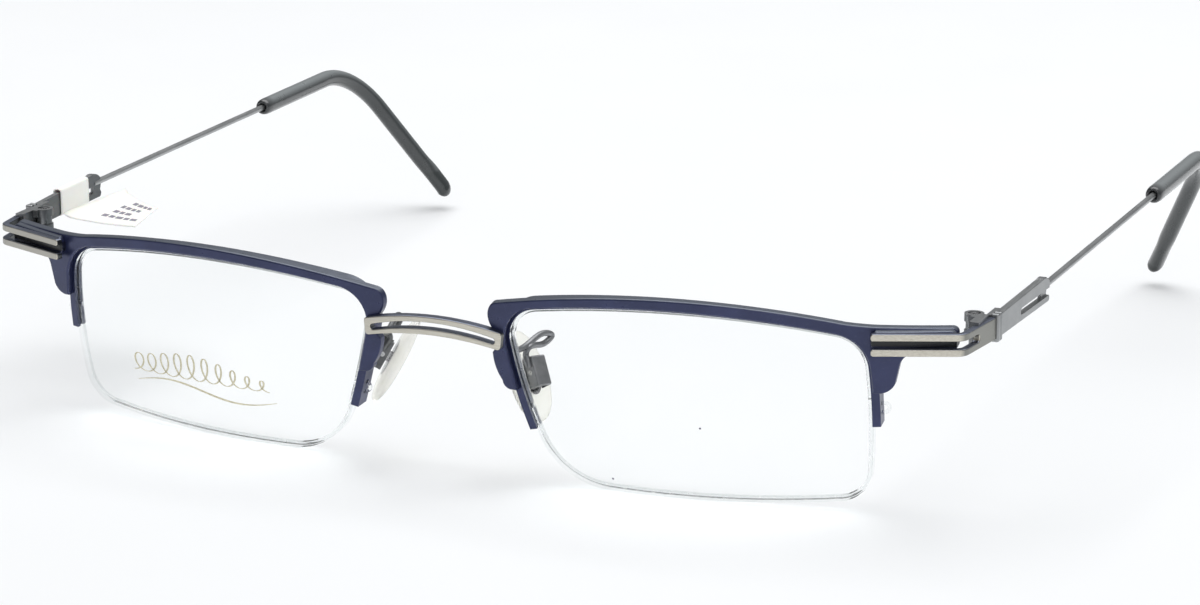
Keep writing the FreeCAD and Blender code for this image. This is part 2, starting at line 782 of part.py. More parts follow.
def stand_offset(pieces):
    """Move that puts the lowest point on z = 0 and the middle of the depth on y = 0."""
    box = Part.makeCompound(list(pieces.values())).optimalBoundingBox(False)
    return Vector(0, -(box.YMin + box.YMax) / 2, -box.ZMin)


def main():
    os.makedirs("parts", exist_ok=True)
    pieces = all_pieces()
    move = stand_offset(pieces)
    print("offset from the design frame", move)
    for name, shape in pieces.items():
        shape.translate(move)
        shape.exportStep("parts/" + name + ".step")
    return pieces, move


main()
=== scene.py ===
import math
import random

import bmesh
import bpy
import numpy as np
from mathutils import Matrix, Vector
from mathutils.bvhtree import BVHTree


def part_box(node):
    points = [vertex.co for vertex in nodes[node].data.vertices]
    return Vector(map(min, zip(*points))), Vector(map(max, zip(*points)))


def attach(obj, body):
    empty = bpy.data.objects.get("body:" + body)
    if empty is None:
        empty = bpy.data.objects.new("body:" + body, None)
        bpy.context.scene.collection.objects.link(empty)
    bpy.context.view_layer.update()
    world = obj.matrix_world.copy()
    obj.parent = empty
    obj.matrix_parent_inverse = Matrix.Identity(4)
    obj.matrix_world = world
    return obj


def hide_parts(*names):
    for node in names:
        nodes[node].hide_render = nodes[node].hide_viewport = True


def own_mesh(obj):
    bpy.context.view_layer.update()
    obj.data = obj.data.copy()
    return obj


# Half-rim eyeglasses. Metal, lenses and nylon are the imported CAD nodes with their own
# materials. Silicone pads, plastic tips, the paper tag and the print on the demo lenses
# are built here. Metres, in the row frame; "left" is the wearer's left, +X.

MM = 0.001
SIDES = ("left", "right")

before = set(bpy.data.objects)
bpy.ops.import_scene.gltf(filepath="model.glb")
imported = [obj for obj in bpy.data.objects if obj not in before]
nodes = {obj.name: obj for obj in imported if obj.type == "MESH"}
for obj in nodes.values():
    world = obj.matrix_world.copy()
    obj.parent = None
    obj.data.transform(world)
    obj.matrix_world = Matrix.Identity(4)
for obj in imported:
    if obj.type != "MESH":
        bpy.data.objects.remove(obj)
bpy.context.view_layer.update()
random.seed(7)


# ---- reading the frame ----
def points_of(node):
    return np.array([v.co for v in nodes[node].data.vertices], float)


def middle(node):
    low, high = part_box(node)
    return (low + high) / 2


def ring_centre(node, direction, depth=0.2 * MM):
    """Middle of the vertices that lie furthest along a direction."""
    points = points_of(node)
    reach = points @ np.array(direction)
    end = points[reach > reach.max() - depth]
    return Vector((end.min(0) + end.max(0)) / 2)


def own_axes(node, towards):
    """Centre, axes and half sizes of a flat long node: width, thickness to towards, length."""
    points = points_of(node)
    _, _, axes = np.linalg.svd(points - points.mean(0), full_matrices=False)
    length, _, thick = (Vector(axis) for axis in axes)
    if length.z < 0:
        length = -length
    rough = Vector((points.min(0) + points.max(0)) / 2)
    if (towards - rough).dot(thick) < 0:
        thick = -thick
    width = thick.cross(length)
    basis = np.array([width, thick, length])
    local = points @ basis.T
    centre = Vector(((local.min(0) + local.max(0)) / 2) @ basis)
    half = (local.max(0) - local.min(0)) / 2
    return centre, (width, thick, length), half


def surface_tree(node):
    mesh = nodes[node].data
    return BVHTree.FromPolygons(
        [v.co for v in mesh.vertices], [tuple(p.vertices) for p in mesh.polygons]
    )


# ---- building meshes ----
def finish_piece(obj, material, body, smooth=True):
    obj.data.materials.clear()
    obj.data.materials.append(material)
    for polygon in obj.data.polygons:
        polygon.use_smooth = smooth
    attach(obj, body)
    return obj


def mesh_object(name, vertices, faces):
    mesh = bpy.data.meshes.new(name)
    mesh.from_pydata([tuple(v) for v in vertices], [], faces)
    obj = bpy.data.objects.new(name, mesh)
    bpy.context.scene.collection.objects.link(obj)
    work = bmesh.new()
    work.from_mesh(mesh)
    bmesh.ops.remove_doubles(work, verts=work.verts, dist=1e-7)
    bmesh.ops.recalc_face_normals(work, faces=work.faces)
    work.to_mesh(mesh)
    work.free()
    return obj


def loft(rings, caps=True):
    """Vertices and faces of a tube through rings of the same number of points."""
    count = len(rings[0])
    vertices = [p for ring in rings for p in ring]
    faces = []
    for i in range(len(rings) - 1):
        for j in range(count):
            k = (j + 1) % count
            a, b = i * count, (i + 1) * count
            faces.append((a + j, a + k, b + k, b + j))
    if caps:
        faces.append(tuple(range(count)))
        faces.append(tuple(len(vertices) - count + j for j in range(count)))
    return vertices, faces


# ---- materials ----
class Graph:
    """One material's node tree, with a Principled shader and a few helpers."""

    def __init__(self, name):
        self.material = bpy.data.materials.new(name)
        self.material.use_nodes = True
        self.nodes = self.material.node_tree.nodes
        self.links = self.material.node_tree.links
        self.shader = self.nodes["Principled BSDF"]
        self.output = self.nodes["Material Output"]
        self.place = self.nodes.new("ShaderNodeTexCoord").outputs["Object"]

    def set(self, **values):
        for name, value in values.items():
            self.shader.inputs[name.replace("_", " ")].default_value = value

    def stretched(self, scale):
        node = self.nodes.new("ShaderNodeMapping")
        node.inputs["Scale"].default_value = scale
        self.links.new(self.place, node.inputs["Vector"])
        return node.outputs["Vector"]

    def noise(self, scale, detail=3.0, rough=0.55, vector=None):
        node = self.nodes.new("ShaderNodeTexNoise")
        node.inputs["Scale"].default_value = scale
        node.inputs["Detail"].default_value = detail
        node.inputs["Roughness"].default_value = rough
        self.links.new(vector or self.place, node.inputs["Vector"])
        return node.outputs["Fac"]

    def ramp(self, factor, low, high, start=0.3, end=0.7):
        node = self.nodes.new("ShaderNodeMapRange")
        node.inputs["From Min"].default_value = start
        node.inputs["From Max"].default_value = end
        node.inputs["To Min"].default_value = low
        node.inputs["To Max"].default_value = high
        self.links.new(factor, node.inputs["Value"])
        return node.outputs["Result"]

    def mix(self, factor, low, high):
        node = self.nodes.new("ShaderNodeMix")
        node.data_type = "RGBA"
        self.links.new(factor, node.inputs["Factor"])
        for socket, value in ((node.inputs[6], low), (node.inputs[7], high)):
            if isinstance(value, (tuple, list)):
                socket.default_value = (*value, 1.0)
            else:
                self.links.new(value, socket)
        return node.outputs[2]

    def math(self, operation, *factors):
        node = self.nodes.new("ShaderNodeMath")
        node.operation = operation
        for socket, factor in zip(node.inputs, factors):
            self.links.new(factor, socket)
        return node.outputs[0]

    def colour(self, output):
        self.links.new(output, self.shader.inputs["Base Color"])

    def roughness(self, output):
        self.links.new(output, self.shader.inputs["Roughness"])

    def bump(self, height, strength, distance=0.05 * MM):
        node = self.nodes.new("ShaderNodeBump")
        node.inputs["Strength"].default_value = strength
        node.inputs["Distance"].default_value = distance
        self.links.new(height, node.inputs["Height"])
        self.links.new(node.outputs["Normal"], self.shader.inputs["Normal"])

    def split(self, vector, axis):
        parts = self.nodes.new("ShaderNodeSeparateXYZ")
        self.links.new(vector, parts.inputs["Vector"])
        return parts.outputs[axis]

    def normal(self, axis):
        """How far the face looks along an axis of the object at rest, -1 to 1."""
        coords = self.nodes.new("ShaderNodeTexCoord")
        return self.split(coords.outputs["Normal"], axis)

    def facing(self, axis, start, end):
        """0 to 1 as the face turns towards an axis."""
        return self.ramp(self.normal(axis), 0, 1, start, end)

    def spot(self, axis, start, end):
        """0 to 1 between two places along an axis of the piece."""
        return self.ramp(self.split(self.place, axis), 0, 1, start, end)

    def sideways(self, axis, start, end):
        """0 to 1 as the face turns towards plus or minus the axis."""
        return self.ramp(self.math("ABSOLUTE", self.normal(axis)), 0, 1, start, end)

    def outward(self):
        """0 on faces that look at the wearer's middle plane, 1 on the others."""
        side = self.math("SIGN", self.split(self.place, "X"))
        return self.ramp(self.math("MULTIPLY", side, self.normal("X")), 0, 1, -0.8, -0.3)

    def let_light_through(self, tint):
        """Shadow rays pass, so clear pieces don't throw black shadows."""
        clear = self.nodes.new("ShaderNodeBsdfTransparent")
        clear.inputs["Color"].default_value = (*tint, 1.0)
        path = self.nodes.new("ShaderNodeLightPath")
        mix = self.nodes.new("ShaderNodeMixShader")
        self.links.new(path.outputs["Is Shadow Ray"], mix.inputs["Fac"])
        self.links.new(self.shader.outputs["BSDF"], mix.inputs[1])
        self.links.new(clear.outputs["BSDF"], mix.inputs[2])
        self.links.new(mix.outputs["Shader"], self.output.inputs["Surface"])


BARS_START = 59.4 * MM
BARS_GAP_LOW = 23.75 * MM
BARS_GAP_HIGH = 25.05 * MM


def bar_gap_painted_shade(g):
    """1 on the lacquer between the two bars of each end piece, where painted shade goes."""
    blur = 0.15 * MM
    across = g.math("ABSOLUTE", g.split(g.place, "X"))
    far = g.ramp(across, 0, 1, BARS_START - 0.2 * MM, BARS_START + 0.2 * MM)
    above = g.spot("Z", BARS_GAP_LOW - blur, BARS_GAP_LOW + blur)
    below = g.spot("Z", BARS_GAP_HIGH + blur, BARS_GAP_HIGH - blur)
    return g.math("MULTIPLY", g.math("MULTIPLY", above, far), below)


def lacquer():
    """Satin indigo lacquer over steel: faint orange peel, slightly paler high spots, and a painted
    highlight on the upward faces.
    """
    g = Graph("indigo_lacquer")
    g.set(Metallic=0.55, IOR=1.5, Coat_Weight=0.35, Coat_Roughness=0.22)
    cloud = g.ramp(g.noise(180, 4), 0, 1)
    body = g.mix(cloud, (0.022, 0.029, 0.082), (0.034, 0.043, 0.118))
    worn = g.ramp(g.noise(2600, 2), 0, 0.3, 0.6, 0.75)
    body = g.mix(worn, body, (0.062, 0.074, 0.14))
    # painted shade: near-black lacquer in the gap between the bars
    body = g.mix(bar_gap_painted_shade(g), body, (0.014, 0.015, 0.017))
    # painted highlight: faces turned up are lighter, as if catching the overhead light
    g.colour(g.mix(g.facing("Z", 0.45, 0.8), body, (0.10, 0.115, 0.15)))
    g.roughness(g.ramp(g.noise(900, 3), 0.27, 0.40))
    g.bump(g.noise(3800, 2), 0.25, 0.01 * MM)
    return g.material


def satin_steel():
    """Warm pewter, brushed along the bars, greyer on the side faces, with painted shade on the
    inner faces and on faces turned towards minus X.
    """
    g = Graph("satin_steel")
    g.set(Metallic=1.0, Anisotropic=0.35)
    brushed = g.noise(1.0, 5, 0.7, g.stretched((260, 5200, 5200)))
    bare = g.mix(g.ramp(brushed, 0, 1), (0.50, 0.47, 0.40), (0.70, 0.67, 0.59))
    top = g.mix(g.ramp(g.noise(1400, 3), 0, 1), (0.16, 0.18, 0.24), (0.22, 0.24, 0.31))
    # painted shade: faces turned towards minus X, away from the light, are darker
    bare = g.mix(g.facing("X", -0.40, 0.05), (0.40, 0.39, 0.36), bare)
    # painted shade: side faces towards the wearer's middle are near-black
    flank_with_inner_shade = g.mix(g.outward(), (0.075, 0.08, 0.085), (0.27, 0.27, 0.25))
    body = g.mix(g.facing("Y", -0.80, -0.55), bare, flank_with_inner_shade)
    g.colour(g.mix(g.facing("Z", 0.55, 0.85), body, top))
    g.roughness(g.ramp(brushed, 0.26, 0.42))
    g.bump(brushed, 0.3, 0.008 * MM)
    return g.material


def gunmetal():
    """Cool satin grey plating with fine grain, with painted shade darkening the faces towards the
    head.
    """
    g = Graph("gunmetal")
    g.set(Metallic=0.9)
    grain = g.noise(1.0, 4, 0.65, g.stretched((4200, 420, 4200)))
    cloud = g.ramp(g.noise(240, 4), 0, 1)
    base = g.mix(cloud, (0.25, 0.26, 0.27), (0.35, 0.36, 0.365))
    base = g.mix(g.ramp(grain, 0, 0.5), base, (0.45, 0.455, 0.45))
    # painted shade: faces towards the wearer's middle are darker
    g.colour(g.mix(g.outward(), (0.105, 0.115, 0.12), base))
    g.roughness(g.ramp(grain, 0.30, 0.44))
    g.bump(grain, 0.25, 0.008 * MM)
    return g.material


def wire_steel():
    """Paler drawn steel with long draw lines."""
    g = Graph("wire_steel")
    g.set(Metallic=0.9)
    drawn = g.noise(1.0, 4, 0.65, g.stretched((4200, 160, 4200)))
    base = g.mix(g.ramp(g.noise(200, 3), 0, 1), (0.30, 0.31, 0.315), (0.38, 0.39, 0.395))
    g.colour(g.mix(g.ramp(drawn, 0, 0.5), base, (0.48, 0.49, 0.49)))
    g.roughness(g.ramp(drawn, 0.30, 0.42))
    g.bump(drawn, 0.2, 0.006 * MM)
    return g.material


def dark_steel():
    """Smoky plating of the pad arms and boxes, with painted light making them paler on the wearer's
    left, the more lit side.
    """
    g = Graph("dark_steel")
    g.set(Metallic=0.85)
    grain = g.noise(2600, 4)
    cloud = g.ramp(g.noise(420, 4), 0, 1)
    base = g.mix(cloud, (0.10, 0.105, 0.11), (0.17, 0.175, 0.18))
    # painted light: the pieces on the wearer's left get a paler, lit copy of the plating
    paler = g.mix(cloud, (0.20, 0.205, 0.215), (0.31, 0.315, 0.325))
    base = g.mix(g.spot("X", -3 * MM, 3 * MM), base, paler)
    g.colour(g.mix(g.ramp(grain, 0, 0.3), base, (0.30, 0.305, 0.31)))
    g.roughness(g.ramp(grain, 0.32, 0.46))
    g.bump(grain, 0.2, 0.008 * MM)
    return g.material


def screw_steel():
    """Turned steel with a fine mottle of light and dark."""
    g = Graph("screw_steel")
    g.set(Metallic=1.0)
    wave = g.noise(5200, 2)
    g.colour(g.mix(g.ramp(wave, 0, 1), (0.38, 0.38, 0.39), (0.62, 0.62, 0.63)))
    g.roughness(g.ramp(wave, 0.18, 0.34))
    g.bump(wave, 0.3, 0.01 * MM)
    return g.material


def lens_glass():
    """Clear demo lens with a faint smear in its polish and a greyer cut edge."""
    g = Graph("demo_lens")
    g.set(Transmission_Weight=1.0, IOR=1.05)
    smear = g.ramp(g.noise(90, 5), 0, 1)
    face = g.mix(smear, (0.985, 0.99, 0.99), (0.97, 0.98, 0.98))
    g.colour(g.mix(g.sideways("Y", 0.45, 0.75), (0.86, 0.87, 0.87), face))
    g.roughness(g.ramp(g.noise(60, 4), 0.0, 0.03))
    g.let_light_through((0.95, 0.96, 0.96))
    return g.material


def nylon():
    """Clear drawn line, a little milky."""
    g = Graph("nylon_line")
    g.set(Transmission_Weight=0.95, IOR=1.08)
    drawn = g.noise(1400, 3)
    g.colour(g.mix(g.ramp(drawn, 0, 1), (0.93, 0.95, 0.95), (0.99, 0.99, 0.99)))
    g.roughness(g.ramp(drawn, 0.12, 0.28))
    g.let_light_through((0.8, 0.82, 0.82))
    return g.material


def silicone():
    """Cream silicone, milky and slightly dusty."""
    g = Graph("pad_silicone")
    g.set(Transmission_Weight=0.88, IOR=1.2)
    cloud = g.ramp(g.noise(420, 4), 0, 1)
    g.colour(g.mix(cloud, (0.96, 0.95, 0.88), (0.99, 0.985, 0.95)))
    g.roughness(g.ramp(g.noise(2400, 3), 0.38, 0.52))
    g.bump(g.noise(1600, 2), 0.05, 0.01 * MM)
    g.let_light_through((0.93, 0.93, 0.90))
    return g.material


def tip_plastic():
    """Dark glossy plastic, with a painted highlight that makes it greyer on top and painted shade
    that makes it darkest at its mouth and its foot.
    """
    g = Graph("tip_plastic")
    g.set(IOR=1.55, Coat_Weight=0.7, Coat_Roughness=0.16)
    cloud = g.ramp(g.noise(140, 5), 0, 1)
    base = g.mix(cloud, (0.019, 0.024, 0.026), (0.028, 0.034, 0.036))
    rubs = g.noise(520, 3, 0.5)
    base = g.mix(g.ramp(rubs, 0, 0.12, 0.5, 0.8), base, (0.06, 0.068, 0.07))
    # painted highlight: faces turned up are greyer, as if lit from above
    base = g.mix(g.facing("Z", 0.25, 0.9), base, (0.20, 0.22, 0.225))
    # painted shade: the foot and the mouth end are painted darker
    above_foot = g.spot("Z", 6.5 * MM, 6.9 * MM)
    past_mouth = g.spot("Y", 22.4 * MM, 24.6 * MM)
    base = g.mix(above_foot, (0.012, 0.018, 0.019), base)
    g.colour(g.mix(past_mouth, (0.018, 0.021, 0.024), base))
    g.roughness(g.ramp(rubs, 0.27, 0.31))
    g.bump(rubs, 0.015, 0.01 * MM)
    return g.material


def paper():
    """Coated label paper: fibre, soft mottling and a yellowed tone in the low places."""
    g = Graph("label_paper")
    g.set(Subsurface_Weight=0.15, Subsurface_Scale=0.3 * MM)
    fibre = g.noise(1.0, 5, 0.75, g.stretched((1500, 4200, 2600)))
    tone = g.ramp(g.noise(160, 4), 0, 1)
    base = g.mix(tone, (0.95, 0.94, 0.885), (0.98, 0.975, 0.95))
    g.colour(g.mix(g.ramp(fibre, 0, 0.3, 0.45, 0.8), base, (0.89, 0.88, 0.83)))
    g.roughness(g.ramp(fibre, 0.55, 0.8))
    g.bump(fibre, 0.35, 0.02 * MM)
    return g.material


def print_ink():
    """Grey-violet thermal print with uneven cover."""
    g = Graph("print_ink")
    cover = g.noise(3600, 4)
    g.colour(g.mix(g.ramp(cover, 0, 1), (0.17, 0.16, 0.21), (0.36, 0.35, 0.40)))
    g.roughness(g.ramp(cover, 0.5, 0.75))
    return g.material


def gold_ink():
    """Pale gold foil print on the lens."""
    g = Graph("gold_ink")
    g.set(Metallic=0.7)
    cover = g.noise(3200, 4)
    g.colour(g.mix(g.ramp(cover, 0, 1), (0.52, 0.48, 0.33), (0.74, 0.70, 0.54)))
    g.roughness(g.ramp(cover, 0.32, 0.5))
    g.bump(cover, 0.3, 0.01 * MM)
    return g.material


METALS = {
    lacquer: ("rim", "brow_plate"),
    satin_steel: ("end_piece",),
    gunmetal: ("hinge_front_leaf", "temple_plate", "hinge_temple_leaf"),
    wire_steel: ("temple_wire",),
    dark_steel: ("pad_arm", "pad_box"),
    screw_steel: ("hinge_screw", "pad_screw", "pad_insert"),
}
CLEARS = {lens_glass: ("lens",), nylon: ("nylon_thread", "rim_liner")}


def dress(node, material):
    obj = nodes[node]
    obj.data.materials.clear()
    obj.data.materials.append(material)


def dress_cad_nodes():
    for make, stems in {**METALS, **CLEARS}.items():
        material = make()
        for stem in stems:
            for side in SIDES:
                dress(f"{stem}_{side}", material)
        if make is satin_steel:
            dress("bridge", material)


# ---- nose pads ----
def nose_pad(side, material):
    """Drop-shaped silicone pad: crowned towards the nose, flatter round its insert."""
    node = f"nose_pad_{side}"
    centre, (width, thick, length), half = own_axes(node, middle(f"pad_box_{side}"))
    rings_out, points_round = 14, 56
    narrowing = 0.10

    def place(share, turn, facing):
        """One point at a share of the way out, on the nose side (-1) or box side (1)."""
        up = math.sin(turn)
        across = math.cos(turn) * (1 - narrowing * up)
        crown = (1 - share**2.4) ** (1 / 2.4)
        depth = half[1] * crown * facing
        if facing > 0:
            depth *= 0.92 - 0.22 * math.exp(-((share / 0.5) ** 4))
        spread = share * 0.985
        return (
            centre
            + width * (half[0] * across * spread)
            + length * (half[2] * up * spread)
            + thick * depth
        )

    shares = [math.sin(math.pi / 2 * i / rings_out) for i in range(1, rings_out)]
    turns = [2 * math.pi * j / points_round for j in range(points_round)]
    rings = [[place(s, t, -1) for t in turns] for s in shares]
    rings.append([place(1.0, t, 1) for t in turns])
    rings += [[place(s, t, 1) for t in turns] for s in reversed(shares)]
    vertices, faces = loft(rings)
    obj = mesh_object(f"pad_cushion_{side}", vertices, faces)
    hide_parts(node)
    return finish_piece(obj, material, f"pad_{side}")


# ---- temple tips ----
TIP_RADIUS = 1.3 * MM
TIP_END_RADIUS = 1.65 * MM
TIP_BEND_RADIUS = 15.0 * MM
TIP_BORE = 0.54 * MM
TIP_MOUTH = ((0.74, 0.04), (0.86, 0.0), (1.02, 0.06), (1.16, 0.28), (1.25, 0.7))
FOOT_START = 7.0 * MM
FOOT_FULL = 3.6 * MM
ROUND_POINTS = 36
ROUNDING_RINGS = 9


def meeting_point(a, a_way, b, b_way):
    """Point nearest to two lines."""
    normal = a_way.cross(b_way)
    share = (b - a).cross(b_way).dot(normal) / normal.length_squared
    return a + a_way * share


def tip_route(side):
    """Nose, bend corner and end of the tip's centre line, read from the CAD nodes."""
    sign = 1 if side == "left" else -1
    low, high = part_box(f"temple_tip_{side}")
    inner = low.x if side == "left" else high.x
    end = Vector(
        (inner + sign * TIP_END_RADIUS, high.y - TIP_END_RADIUS, low.z + TIP_END_RADIUS)
    )
    wire = f"temple_wire_{side}"
    start = ring_centre(wire, (0, -1, 0), 0.12 * MM)
    drop = Vector((-0.39 * sign, 0.465, -0.795)).normalized()
    wire_end = ring_centre(wire, drop, 0.05 * MM)
    run = ring_centre(f"temple_tip_{side}", (0, -1, 0), 0.05 * MM) - start
    corner = meeting_point(start, run.normalized(), end, (end - wire_end).normalized())
    nose = start + run
    return nose, corner, end


def bent_line(nose, corner, end, steps):
    """Points and directions along a line, a tangent arc and a line."""
    back = (nose - corner).normalized()
    down = (end - corner).normalized()
    half = back.angle(down) / 2
    reach = TIP_BEND_RADIUS / math.tan(half)
    first, last = corner + back * reach, corner + down * reach
    inward = (back + down).normalized()
    centre = corner + inward * (TIP_BEND_RADIUS / math.sin(half))
    side = back.cross(down).normalized()
    samples = []
    for i in range(steps):
        samples.append((nose.lerp(first, i / steps), -back))
    sweep = math.pi - 2 * half
    arm = first - centre
    for i in range(steps):
        turn = Matrix.Rotation(-sweep * i / steps, 3, side)
        samples.append((centre + turn @ arm, turn @ -back))
    for i in range(steps + 1):
        samples.append((last.lerp(end, i / steps), down))
    return samples, side


def foot_swell(left):
    """0 on the shank to 1 where the foot is thickest, at a length before the end."""
    rise = min(1.0, max(0.0, (FOOT_START - left) / (FOOT_START - FOOT_FULL)))
    return rise * rise * (3 - 2 * rise) * (0.72 + 0.28 * min(1.0, left / FOOT_FULL))


def temple_tip(side, material):
    """Plastic sleeve: bored mouth, round shank, and a foot that swells to the outside."""
    nose, corner, end = tip_route(side)
    samples, level = bent_line(nose, corner, end, 30)
    lengths = [0.0]
    for (a, _), (b, _) in zip(samples, samples[1:]):
        lengths.append(lengths[-1] + (b - a).length)
    way, down = samples[0][1], samples[-1][1]
    outer = (corner - nose).normalized() - down
    outer = (outer - down * outer.dot(down)).normalized()

    def section(point, along, thick, tall, shift=0.0):
        upper = along.cross(level).normalized()
        middle_point = point + outer * shift
        turns = [2 * math.pi * j / ROUND_POINTS for j in range(ROUND_POINTS)]
        return [
            middle_point + level * (thick * math.cos(turn)) + upper * (tall * math.sin(turn))
            for turn in turns
        ]

    rings = []
    for depth in (1.4 * MM, 0.25 * MM):
        rings.append(section(nose + way * depth, way, TIP_BORE, TIP_BORE))
    for radius, depth in TIP_MOUTH:
        rings.append(section(nose + way * depth * MM, way, radius * MM, radius * MM))
    for (point, direction), reach in zip(samples, lengths):
        if reach < 1.2 * MM:
            continue
        swell = foot_swell(lengths[-1] - reach)
        tall = TIP_RADIUS + 0.38 * MM * swell
        thick = TIP_RADIUS - 0.12 * MM * swell
        rings.append(section(point, direction, thick, tall, 0.25 * MM * swell))
    for i in range(1, ROUNDING_RINGS):
        turn = math.pi / 2 * i / ROUNDING_RINGS
        shrink = math.cos(turn)
        point = end + down * (TIP_END_RADIUS * math.sin(turn))
        thick, tall = (TIP_RADIUS - 0.09 * MM) * shrink, (TIP_END_RADIUS - 0.05 * MM) * shrink
        rings.append(section(point, down, thick, tall, 0.05 * MM * shrink))
    vertices, faces = loft(rings)
    obj = mesh_object(f"tip_cover_{side}", vertices, faces)
    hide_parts(f"temple_tip_{side}")
    return finish_piece(obj, material, f"temple_{side}")


# ---- paper tag ----
BAND_WALL = 0.14 * MM
BAND_CORNER = 0.45 * MM
BAND_BOW = 0.05 * MM
BAND_STATIONS = 14


def tag_band(material):
    """Paper wrapped round the temple plate, with rounded folds and slightly bowed faces."""
    node = "size_tag_band"
    points = points_of(node)
    wire_root = ring_centre("temple_wire_right", (0, -1, 0))
    way = ring_centre("temple_tip_right", (0, -1, 0)) - wire_root
    _, _, axes = np.linalg.svd(points - points.mean(0), full_matrices=False)
    along = Vector(axes[0])
    if along.dot(way) < 0:
        along = -along
    up = Vector((0, 0, 1))
    across = along.cross(up).normalized()
    basis = np.array([along, across, up])
    local = points @ basis.T
    low, high = local.min(0), local.max(0)
    centre = (low + high) / 2
    half_thick, half_tall = (high - low)[1:] / 2

    def outline(inset, bow):
        """Rounded rectangle across the band, clockwise from the middle of the bottom."""
        a, b = half_thick - inset, half_tall - inset
        r = BAND_CORNER - inset
        ring = []
        for cx, cy, start in ((1, -1, -90), (1, 1, 0), (-1, 1, 90), (-1, -1, 180)):
            for i in range(7):
                turn = math.radians(start + 15 * i)
                ring.append([cx * (a - r) + r * math.cos(turn), cy * (b - r) + r * math.sin(turn)])
        for point in ring:
            point[0] += bow * math.copysign(1, point[0]) * (1 - (point[1] / b) ** 2)
        return ring

    rings_out, rings_in = [], []
    for i in range(BAND_STATIONS + 1):
        share = i / BAND_STATIONS
        bow = BAND_BOW * math.sin(math.pi * share)
        station = low[0] + (high[0] - low[0]) * share
        for rings, inset in ((rings_out, 0.0), (rings_in, BAND_WALL)):
            rings.append(
                [
                    Vector(np.array([station, centre[1] + p[0], centre[2] + p[1]]) @ basis)
                    for p in outline(inset, bow)
                ]
            )
    rings = rings_out + rings_in[::-1] + [rings_out[0]]
    vertices, faces = loft(rings, caps=False)
    obj = mesh_object("tag_loop", vertices, faces)
    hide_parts(node)
    return finish_piece(obj, material, "temple_right")


def flag_corners():
    """The flag's four corners in plan: root and far end of the front and back edges."""
    points = points_of("size_tag_flag")
    x, y = points[:, 0], points[:, 1]
    root_front = points[np.argmin(x + 0.5 * y)]
    far_front = points[np.argmax(x)]
    far_back = points[np.argmax(2 * x + y)]
    root_back = points[np.argmax(y)]
    return [Vector((p[0], p[1], 0)) for p in (root_front, far_front, far_back, root_back)]


FLAG_CORNERS = flag_corners()
FLAG_HALF_THICKNESS = 0.07 * MM


def flag_surface(u, v):
    """Point of the flag's middle surface: u from root to far end, v from front to back."""
    root_front, far_front, far_back, root_back = FLAG_CORNERS
    low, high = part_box("size_tag_flag")
    front = root_front.lerp(far_front, u)
    back = root_back.lerp(far_back, u)
    point = front.lerp(back, v)
    lift = 0.55 * MM * u**2 * (0.4 + 0.6 * v) - 0.15 * MM * math.sin(math.pi * u)
    curl = max(0.0, 1 - u / 0.09)
    point.z = (low.z + high.z) / 2 + lift + 0.5 * MM * curl**2
    return point


def sheet_patch(name, surface, columns, rows, half_thickness):
    """Thin closed sheet over surface(u, v), with edges that are one wall high."""
    vertices, faces = [], []
    for offset in (-half_thickness, half_thickness):
        for j in range(rows + 1):
            for i in range(columns + 1):
                point = surface(i / columns, j / rows)
                vertices.append(point + Vector((0, 0, offset)))
    layer = (columns + 1) * (rows + 1)
    row = columns + 1
    for j in range(rows):
        for i in range(columns):
            a = j * row + i
            faces.append((a, a + row, a + row + 1, a + 1))
            faces.append((a + layer, a + layer + 1, a + layer + row + 1, a + layer + row))
    edge = list(range(row))
    edge += [j * row + columns for j in range(1, rows + 1)]
    edge += [rows * row + i for i in range(columns - 1, -1, -1)]
    edge += [j * row for j in range(rows - 1, 0, -1)]
    for a, b in zip(edge, edge[1:] + edge[:1]):
        faces.append((a, b, b + layer, a + layer))
    return mesh_object(name, vertices, faces)


def squash_as_folded(obj):
    """Flag and print get their own copy of the mesh data."""
    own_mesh(obj)


def tag_flag(material):
    obj = sheet_patch("tag_leaf", flag_surface, 28, 20, FLAG_HALF_THICKNESS)
    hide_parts("size_tag_flag")
    squash_as_folded(finish_piece(obj, material, "temple_right"))


def tag_print(material):
    """Four rows of plain dashes where a label has its print."""
    box_faces = ((3, 2, 1, 0), (4, 5, 6, 7), (0, 1, 5, 4), (1, 2, 6, 5), (2, 3, 7, 6), (3, 0, 4, 7))
    vertices, faces = [], []
    lift = Vector((0, 0, FLAG_HALF_THICKNESS + 0.015 * MM))
    for row_number, (start, dashes) in enumerate(((0.36, 5), (0.40, 3), (0.38, 4), (0.46, 4))):
        v = 0.24 + 0.19 * row_number
        u = start
        for _ in range(dashes):
            run = random.uniform(0.07, 0.12)
            base = len(vertices)
            for level in (Vector((0, 0, 0)), Vector((0, 0, 0.02 * MM))):
                for du, dv in ((0, 0), (run, 0), (run, 0.085), (0, 0.085)):
                    vertices.append(flag_surface(u + du, v + dv) + lift + level)
            faces += [tuple(base + k for k in quad) for quad in box_faces]
            u += run + 0.03
    obj = mesh_object("tag_dashes", vertices, faces)
    squash_as_folded(finish_piece(obj, material, "temple_right", smooth=False))


# ---- print on the demo lenses ----
def on_lens(tree, x, z, proud):
    """Point in front of the lens's face at a place across and up."""
    hit, _, _, _ = tree.ray_cast(Vector((x, -0.2, z)), Vector((0, 1, 0)))
    return hit - Vector((0, 1, 0)) * proud


